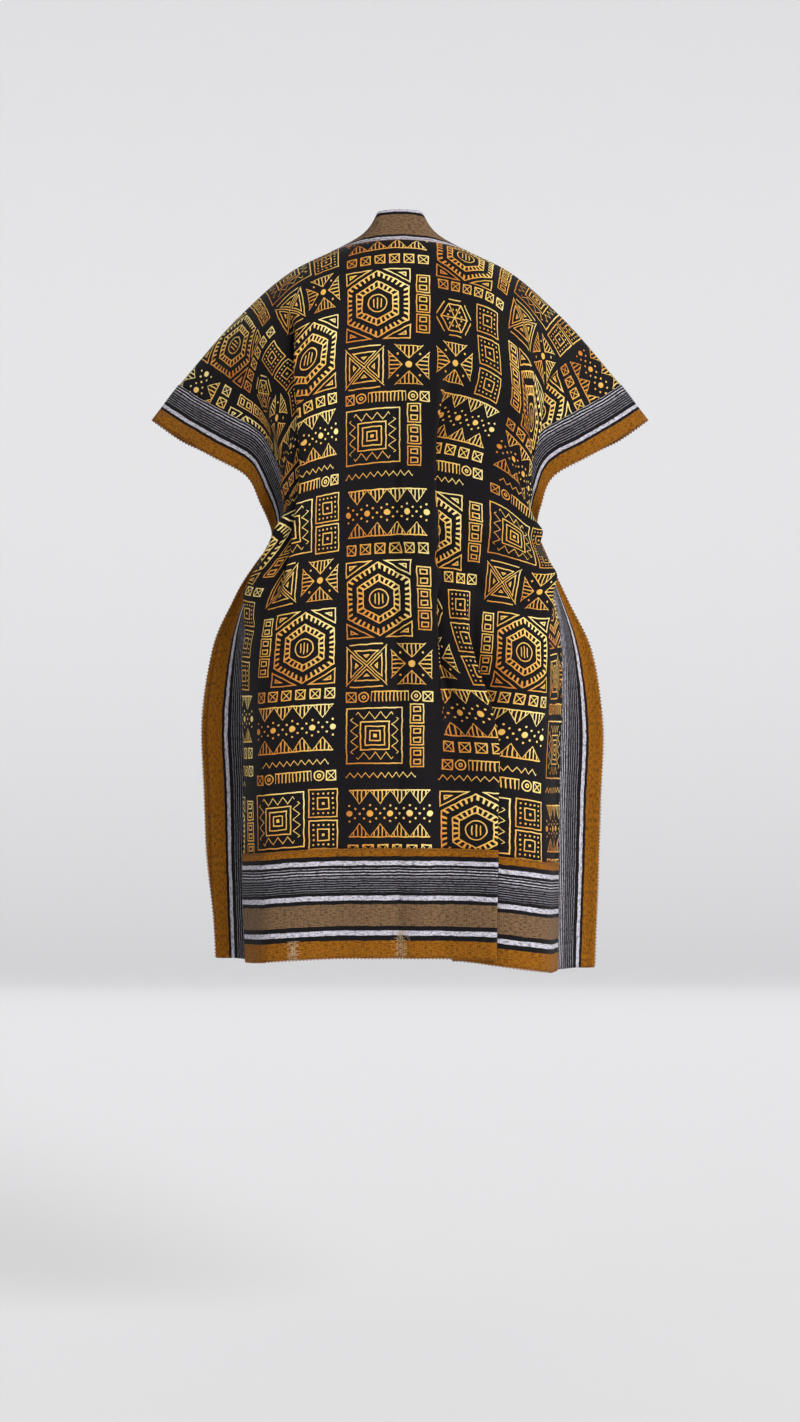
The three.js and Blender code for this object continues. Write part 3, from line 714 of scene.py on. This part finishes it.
# Screen-printed cotton: a plain weave of about 30 threads a centimetre, matt, with a soft bloom.
print_cotton, tree, shader = new_material("screen_printed_cotton")
place_x, place_y, flat = cloth_place(tree)
waver = put(tree, "TexNoise", Vector=flat, Scale=0.09, Detail=1.0).node
drift = put(tree, "SeparateXYZ", waver.outputs["Color"]).node
print_x = put(tree, "MULTIPLY_ADD", drift.outputs[0], PRINT_WAVER, place_x)
print_y = put(tree, "MULTIPLY_ADD", drift.outputs[1], PRINT_WAVER, place_y)
repeat_x = put(tree, "WRAP", print_x, float(REPEAT_WIDTH), 0.0)
repeat_y = put(tree, "WRAP", print_y, float(REPEAT_LENGTH), 0.0)
centre_x = centre_y = 0.0
marks = {}
for motif, (half_width, half_height, places) in BLOCKS.items():
    for x, y in places:
        here = both(tree, put(tree, "COMPARE", repeat_x, float(x), float(half_width)),
                    put(tree, "COMPARE", repeat_y, float(y), float(half_height)))
        centre_x = put(tree, "MULTIPLY_ADD", here, float(x), centre_x)
        centre_y = put(tree, "MULTIPLY_ADD", here, float(y), centre_y)
        marks[motif] = put(tree, "ADD", marks[motif], here) if motif in marks else here
block_x = less(tree, repeat_x, centre_x)
block_y = less(tree, repeat_y, centre_y)
beside, above = put(tree, "ABSOLUTE", block_x), put(tree, "ABSOLUTE", block_y)
gold = either(tree, *[both(tree, marks[motif.__name__], motif(tree, block_x, block_y, beside, above))
                      for motif in MOTIFS])
tone = put(tree, "MULTIPLY_ADD", block_x, 0.009, put(tree, "MULTIPLY_ADD", block_y, -0.007, 0.5))
tone = put(tree, "ADD", tone, put(tree, "MULTIPLY_ADD", drift.outputs[2], 0.5, -0.25))
gold_shade = put(tree, "ValToRGB", tone, stops=GOLD)
threads = put(tree, "TexNoise", Vector=flat, Scale=0.8, Detail=2.0)
ground_shade = put(tree, "ValToRGB", threads, stops=[(0.35, GROUND), (0.7, GROUND_FADED)])
printed = put(tree, "MixRGB", gold, ground_shade, gold_shade)
# The threads are 0.35 mm apart, drawn here at 1.3 mm so that the weave shows.
WEAVE_TURN = 4.8
weave = times(tree, put(tree, "SINE", times(tree, place_x, WEAVE_TURN)),
              put(tree, "SINE", times(tree, place_y, WEAVE_TURN)))
weave = put(tree, "MULTIPLY_ADD", threads, 1.5, weave)
surface(tree, shader, printed, weave, 0.25, 0.0003, Roughness=0.8, Sheen_Weight=0.03, Sheen_Roughness=0.5,
        Specular_IOR_Level=0.14)

# The wrong side of the print: the dye has gone through unevenly, so it is a dull brown-black.
print_reverse, tree, shader = new_material("reverse_of_printed_cotton")
place_x, place_y, flat = cloth_place(tree)
dye = put(tree, "TexNoise", Vector=flat, Scale=0.06, Detail=5.0)
dull = put(tree, "ValToRGB", dye, stops=[(0.3, "#221d1d"), (0.7, "#3a3028")])
threads = put(tree, "TexNoise", Vector=flat, Scale=0.8, Detail=2.0)
surface(tree, shader, dull, threads, 0.3, 0.0003, Roughness=0.85)


def neckline(a):
    """How far below the shoulder line the back is cut away for the neck."""
    return np.where(np.abs(a) < NECK_HALF, NECK_DROP * (1 - (np.abs(a) / NECK_HALF) ** 2.4), 0)


def dressed(grid, a, v, creases):
    """A grid of cloth with its creases and slight unevenness, both gone at the neck and the front edge."""
    lift = crease(a, np.abs(v), creases) + rumple(a, np.abs(v))
    fade = ease(np.abs(v), 45, 130)
    if v.max() <= 0:
        fade = ease(np.abs(v), 0, 60) * ease(np.abs(a), FRONT_EDGE, FRONT_EDGE + 60)
    fade = fade * (1 - 0.6 * ease(np.abs(a), PANEL_HALF - 20, PANEL_HALF))
    return grid + outward(grid) * (lift * fade)[..., None]


PANEL_STEP = 4.6
back_across = np.concatenate([
    -stations("back", -1, 0, PANEL_HALF, PANEL_STEP)[:0:-1],
    stations("back", 1, 0, PANEL_HALF, PANEL_STEP),
])
band_across = np.linspace(PANEL_HALF, HALF_WIDTH, 15)
whole_across = np.concatenate([-band_across[:0:-1], back_across, band_across[1:]])
panel_down = np.linspace(0, PANEL_LENGTH, 193)
whole_down = np.concatenate([panel_down, np.linspace(PANEL_LENGTH, LENGTH, 31)[1:]])
whole_down[0] = 0.01
back_grid = lay(whole_across, whole_down)
back_grid = dressed(back_grid, whole_across[None, :], whole_down[:, None], BACK_CREASES)
band = len(band_across) - 1
panel_rows = len(panel_down)

# The top rows of the back bend down to the neckline.
NECK_REACH = 100
BACK_PRINT_SHIFT = 78
panel_grid = back_grid[:panel_rows, band:-band].copy()
panel_v = np.repeat(panel_down[:, None], len(back_across), axis=1)
for i, a in enumerate(back_across):
    top = panel_down < NECK_REACH
    start = float(neckline(a))
    panel_v[top, i] = start + (NECK_REACH - start) * panel_down[top] / NECK_REACH
    for c in range(3):
        panel_grid[top, i, c] = np.interp(panel_v[top, i], panel_down, back_grid[:panel_rows, band + i, c])

back = cloth_piece("printed_back", panel_grid, back_across[None, :] + BACK_PRINT_SHIFT, panel_v,
                   PRINT_THICKNESS, print_cotton, print_reverse)
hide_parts("back")


# Fronts.
# Two panels of the same printed cotton, which hang open in front. Each is cut away at the top of its front
# edge for the neck, and hangs from the shoulder in two folds.
FRONT_CREASES = [
    (120, 240, 150, 460, 40, 4.0), (-130, 220, -160, 440, 40, 4.0),
    (220, 250, 320, 330, 26, 5.0), (210, 340, 320, 420, 24, -4.0),
    (230, 430, 350, 480, 24, 4.5), (-210, 260, -320, 320, 26, 5.0),
    (-220, 330, -330, 400, 24, -4.0), (-240, 420, -350, 470, 24, 4.5),
    (150, 600, 140, 1000, 60, 4.5), (-160, 580, -140, 1000, 60, -4.0),
    (330, 640, 330, 1030, 44, 3.5), (-330, 640, -330, 1030, 44, -3.5),
]
CROWD_TO = 250
FRONT_PRINT_SHIFT = 127


def front_edge(v):
    """How far out the front edge is, cut away towards the shoulder."""
    return FRONT_EDGE + (NECK_HALF - FRONT_EDGE) * np.maximum(0, 1 + np.asarray(v) / FRONT_NECK_DEPTH) ** 1.8


def panel_columns(side):
    """The columns of a front's grid that belong to its panel and not to its side band."""
    return slice(0, -band) if side > 0 else slice(band, None)


front_grids = {}
front_down = -whole_down[::-1]
for side, hand in ((1, "right"), (-1, "left")):
    half_across = stations("front", side, FRONT_EDGE, PANEL_HALF, PANEL_STEP)
    columns = (np.concatenate([half_across, band_across[1:]]) * side)[::side]
    crowd = np.maximum(0, (CROWD_TO - np.abs(columns)) / (CROWD_TO - FRONT_EDGE)) * side
    place_a = columns[None, :] + crowd[None, :] * (front_edge(front_down) - FRONT_EDGE)[:, None]
    grid = np.array([lay_row(place_a[j], v, side) for j, v in enumerate(front_down)])
    grid = dressed(grid, place_a, front_down[:, None], FRONT_CREASES)
    front_grids[hand] = grid, place_a

for hand, side in (("right", 1), ("left", -1)):
    grid, place_a = front_grids[hand]
    part = panel_columns(side)
    rows = slice(len(front_down) - panel_rows, None)
    u = side * place_a[rows, part] + FRONT_PRINT_SHIFT * (2 + side)
    front = cloth_piece(f"printed_front_{hand}", grid[rows, part], u, -front_down[rows, None],
                        PRINT_THICKNESS, print_cotton, print_reverse)
    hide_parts(f"front_{hand}")


# Hem bands.
# Aso oke strips sewn along the lower edges. Aso oke is cotton woven in strips on a narrow hand loom, with the
# stripes in the warp and a thick weft, whose loops show as small scallops along the selvedge.
MUSTARD = "#9a5f0b"
BLACK = "#131114"
WHITE = "#d4d0dc"
TAN = "#7f6347"
HEM_STRIPES = [
    # width, colour
    (10, MUSTARD), (6.5, BLACK), (5.5, WHITE), (4, BLACK), (32, None), (4.5, BLACK), (6, WHITE), (5.5, BLACK),
    (29, TAN), (6, BLACK), (6.5, WHITE), (7, BLACK), (23.5, MUSTARD),
]
PIN_PITCH = 3.9
FINE_PITCH = 3.2
RIB_PITCH = 2.0
END_PITCH = 1.5
THIN_SPOTS = [
    # place along the warp, how far in from the loose selvedge
    (-147, 25.0), (-2, 37.0),
]


def aso_oke(name, stripes, thin_spots=()):
    """Hand-woven strip: UV x runs across its stripes and y along its warp."""
    material, tree, shader = new_material(name)
    across, along, flat = cloth_place(tree)
    waver = put(tree, "TexNoise", Vector=flat, Scale=0.05, Detail=2.0)
    drawn = put(tree, "ADD", across, put(tree, "MULTIPLY_ADD", waver, 2.4, -1.2))
    whole = sum(width for width, _ in stripes)
    stops, place, pins = [], 0.0, (0.0, 0.0)
    for width, shade in stripes:
        if shade is None:
            pins = (place, place + width)
        stops.append((place / whole, shade or BLACK))
        place += width
    factor = put(tree, "DIVIDE", drawn, whole)
    ramp = put(tree, "ValToRGB", factor, stops=stops)
    ramp.node.color_ramp.interpolation = "CONSTANT"
    # Pinstripes, bolder and wider apart at their start.
    into = less(tree, drawn, pins[0])
    bold = below(tree, into, PIN_PITCH * 3)
    pin = below(tree, put(tree, "PINGPONG", into, PIN_PITCH / 2), 0.62)
    fine = times(tree, below(tree, put(tree, "PINGPONG", into, FINE_PITCH / 2), 0.5), less(tree, 1.0, bold))
    inside = put(tree, "COMPARE", drawn, (pins[0] + pins[1]) / 2, (pins[1] - pins[0]) / 2)
    pin = times(tree, put(tree, "MAXIMUM", times(tree, pin, bold), fine), inside)
    pin_shade = put(tree, "MixRGB", bold, colour("#8b8992"), colour(WHITE))
    striped = put(tree, "MixRGB", pin, ramp, pin_shade)
    # The weft is 0.9 mm apart, drawn wider so that its ribs show. The yarn's flecks run out along the warp.
    ribs = put(tree, "SINE", times(tree, along, math.tau / RIB_PITCH))
    ends = put(tree, "SINE", times(tree, across, math.tau / END_PITCH))
    drawn_out = put(tree, "CombineXYZ", times(tree, across, 1.5), times(tree, along, 0.5), 0.0)
    grain = put(tree, "TexNoise", Vector=drawn_out, Scale=0.36, Detail=4.0, Roughness=0.7)
    flecks = put(tree, "ValToRGB", grain, stops=[(0.38, "#7d7570"), (0.54, "#ffffff")])
    striped = put(tree, "MixRGB", 0.85, striped, flecks, blend_type="MULTIPLY")
    # Painted shade and highlight: the colour is darkened along the grooves between the weft ribs and the warp
    # ends and lightened on their tops, besides their relief.
    shade = put(tree, "MULTIPLY_ADD", ribs, 0.07, put(tree, "MULTIPLY_ADD", ends, 0.05, 0.95))
    shade = put(tree, "CombineColor", shade, shade, shade)
    striped = put(tree, "MixRGB", 1.0, striped, shade, blend_type="MULTIPLY")
    # Where the weft is thin the pale warp shows, less and less away from the middle of the spot.
    for place, depth in thin_spots:
        away = put(tree, "ABSOLUTE", less(tree, along, float(place)))
        gap = below(tree, put(tree, "PINGPONG", along, 1.1), 0.7)
        bare = over(tree, grain, put(tree, "MULTIPLY_ADD", away, 0.017, 0.43))
        open_work = both(tree, gap, bare, over(tree, across, whole - depth))
        striped = put(tree, "MixRGB", open_work, striped, colour("#b09676"))
    height = put(tree, "MULTIPLY_ADD", ends, 0.6, put(tree, "MULTIPLY_ADD", grain, 1.6, ribs))
    surface(tree, shader, striped, height, 0.5, 0.0004, Roughness=0.86, Sheen_Weight=0.04,
            Sheen_Roughness=0.6, Specular_IOR_Level=0.12)
    return material


def yarn(name, scale, detail, dark, pale, strength, distance, roughness):
    """A spun yarn, mottled and uneven with its twist."""
    material, tree, shader = new_material(name)
    place = put(tree, "TexCoord").node.outputs["Object"]
    twist = put(tree, "TexNoise", Vector=place, Scale=scale, Detail=detail)
    shade = put(tree, "ValToRGB", twist, stops=[(0.3, dark), (0.7, pale)])
    surface(tree, shader, shade, twist, strength, distance, Roughness=roughness)
    return material


# The cloth of the hem bands, the spun cotton of its weft where it turns at the edge, a little fuzzy, and the
# dark polyester thread that the bands are sewn on with.
hem_strip = aso_oke("aso_oke_hem_strip", HEM_STRIPES, THIN_SPOTS)
weft_yarn = yarn("spun_cotton_weft", 900.0, 2.0, "#6f4008", "#985c10", 0.4, 0.0003, 0.9)
sewing_thread = yarn("polyester_sewing_thread", 1500.0, 1.0, "#1c191b", "#3b3636", 0.3, 0.0002, 0.5)
LOOP_PITCH = 4.8
LOOP_DEPTH = 2.8
YARN_THICKNESS = 1.4
SEWING_THICKNESS = 0.45
STITCH_PITCH = 3.6
STITCH_PLACES = np.array([0, 0.8, 1.9, 2.7])
STITCH_HEIGHTS = np.array([-0.1, 0.25, 0.25, -0.1])
BAND_LIFT = 0.5
SEW_IN = 2.2


def thread(name, paths, diameter, material):
    """Threads along paths in millimetres, as tubes of four sides joined in one mesh."""
    points, faces, start = [], [], 0
    for path in paths:
        path = np.asarray(path, float)
        along = unit(np.gradient(path, axis=0))
        side = unit(np.cross(along, (0.31, 0.83, 0.46)))
        up = np.cross(along, side)
        ring = [path + diameter / 2 * (side * math.cos(t) + up * math.sin(t))
                for t in (0, math.pi / 2, math.pi, math.pi * 1.5)]
        points.append(np.stack(ring, axis=1).reshape(-1, 3))
        n = len(path)
        for i in range(n - 1):
            for k in range(4):
                a, b = start + 4 * i + k, start + 4 * i + (k + 1) % 4
                faces.append((a, b, b + 4, a + 4))
        faces += [(start + 3, start + 2, start + 1, start), tuple(start + 4 * n - 4 + k for k in range(4))]
        start += 4 * n
    mesh = bpy.data.meshes.new(name)
    mesh.from_pydata(np.concatenate(points) * MM, [], faces)
    mesh.polygons.foreach_set("use_smooth", [True] * len(faces))
    mesh.materials.append(material)
    piece = add_object(name, mesh)
    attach(piece, "root")
    return piece


def selvedge(name, edge, inside):
    """The weft's loops along an edge of a strip. `inside` is the next line of points within the strip."""
    runs = runs_along(edge)
    places = np.arange(0, runs[-1], LOOP_PITCH / 4)
    line_points = read_off(places, runs, edge)
    line_out = read_off(places, runs, unit(edge - inside))
    loop = np.sin(places / LOOP_PITCH * math.tau) * LOOP_DEPTH / 2 + 0.25 * np.sin(places / 17) + 0.1
    return thread(name, [line_points + line_out * loop[:, None]], YARN_THICKNESS, weft_yarn)


def sewing(name, line_points, normals):
    """A row of running stitches along a line, each standing just out of the cloth."""
    runs = runs_along(line_points)
    paths = []
    for start in np.arange(1.0, runs[-1] - 4, STITCH_PITCH):
        places = start + STITCH_PLACES
        out = read_off(places, runs, normals)
        paths.append(read_off(places, runs, line_points) + out * STITCH_HEIGHTS[:, None])
    return thread(name, paths, SEWING_THICKNESS, sewing_thread)


def band_piece(name, node, slot, grid, across, along, loose_edge, sewn_edge):
    """An aso oke band with the loops of its selvedge and the stitches that hold it. Each edge is given as its
    row or column of the grid and the next one in from it."""
    piece = cloth_piece(name, grid, across, along, BAND_THICKNESS, STRIPS[slot], STRIPS[slot], BAND_LIFT)
    out = outward(grid)
    rows, inner_rows = loose_edge
    loops = selvedge(f"selvedge_{node}", grid[rows] + out[rows] * BAND_LIFT, grid[inner_rows])
    first, second = sewn_edge
    step = unit(grid[second] - grid[first])
    line_points = grid[first] + step * SEW_IN + out[first] * (BAND_LIFT + BAND_THICKNESS / 2)
    stitches = sewing(f"stitches_{node}", line_points, out[first])
    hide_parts(node)


FRONT_WARP_SHIFT = 300
STRIPS = {"aso_oke_hem": hem_strip}
band_piece("hem_band_of_back", "hem_band_back", "aso_oke_hem", back_grid[panel_rows - 1:, band:-band],
           (whole_down[panel_rows - 1:] - PANEL_LENGTH)[:, None], back_across[None, :],
           (-1, -2), (0, 1))
for hand, side in (("right", 1), ("left", -1)):
    grid, place_a = front_grids[hand]
    part = panel_columns(side)
    rows = slice(0, len(front_down) - panel_rows + 1)
    band_piece(f"hem_band_of_front_{hand}", f"hem_band_front_{hand}", "aso_oke_hem", grid[rows, part],
               (-front_down[rows] - PANEL_LENGTH)[:, None], place_a[rows, part] + FRONT_WARP_SHIFT * side,
               (0, 1), (-1, -2))


# Side bands.
# Narrower aso oke strips of the same make, with the mustard selvedge outside. Each runs from the shoulder,
# where it finishes the short sleeve, down the side to the hem.
SIDE_STRIPES = [(31, None), (3.5, BLACK), (4.5, WHITE), (4, BLACK), (19, MUSTARD)]
SIDE_WARP_SHIFT = 37
STRIPS["aso_oke_side"] = aso_oke("aso_oke_side_strip", SIDE_STRIPES)
for hand, side in (("right", 1), ("left", -1)):
    part = slice(-band - 1, None) if side > 0 else slice(0, band + 1)
    outer, inner = (-1, 0) if side > 0 else (0, -1)
    beyond, within = (-2, 1) if side > 0 else (1, -2)
    across = (np.abs(whole_across[part]) - PANEL_HALF)[None, :]
    for face, grid, down in (("back", back_grid, whole_down), ("front", front_grids[hand][0], front_down)):
        band_piece(f"side_band_of_{face}_{hand}", f"side_band_{face}_{hand}", "aso_oke_side", grid[:, part],
                   across, np.abs(down)[:, None] + SIDE_WARP_SHIFT * side,
                   (np.s_[:, outer], np.s_[:, beyond]), (np.s_[:, inner], np.s_[:, within]))


# Collar band.
# One strip of aso oke, folded lengthwise and sewn round the neck and down both front edges. It stands at the
# back of the neck, leans in over the shoulders and lies flat down the fronts.
COLLAR_STRIPES = [(4.5, WHITE), (3, BLACK), (30, TAN), (4, BLACK), (3.5, WHITE)]
STAND_LEAN = 0.34
SHOULDER_LEAN = 2.0
LIE_FLAT_AT = 170
NECK_CENTRE_Y = 4
BESIDE_SEAM = 8
STRIPS["aso_oke_collar"] = aso_oke("aso_oke_collar_strip", COLLAR_STRIPES)


def collar_root(t):
    """Where the collar is sewn at run t of its seam from the middle of the back, and which way it stands."""
    if abs(t) < NECK_HALF:
        a, v = t, float(neckline(t))
    else:
        v = max(NECK_HALF - abs(t), -LENGTH)
        a = math.copysign(float(front_edge(v)), t)
    side = -1 if a < 0 else 1
    point, beside = lay_row(np.array([a, a - BESIDE_SEAM * side]), v, side)
    inward = unit(np.array([-point[0], NECK_CENTRE_Y - point[1], 0]))
    lean = STAND_LEAN + (SHOULDER_LEAN - STAND_LEAN) * ease(abs(t), 30, NECK_HALF)
    standing = unit(np.array([0, 0, 1]) + inward * lean)
    way = standing + (unit(beside - point) - standing) * ease(-v, 0, LIE_FLAT_AT)
    return point, unit(way)


collar_half = np.append(np.linspace(0, NECK_HALF, 27), NECK_HALF + np.linspace(0, LENGTH, 190)[1:])
collar_along = np.concatenate([-collar_half[:0:-1], collar_half])
roots, ways = (np.array(x) for x in zip(*[collar_root(t) for t in collar_along]))
collar_up = np.linspace(COLLAR_BAND, 0, 12)
collar_grid = roots[None, :] + ways[None, :] * collar_up[:, None, None]
band_piece("collar_of_aso_oke", "collar_band", "aso_oke_collar", collar_grid, collar_up[:, None],
           collar_along[None, :], (-1, -2), (-1, -2))
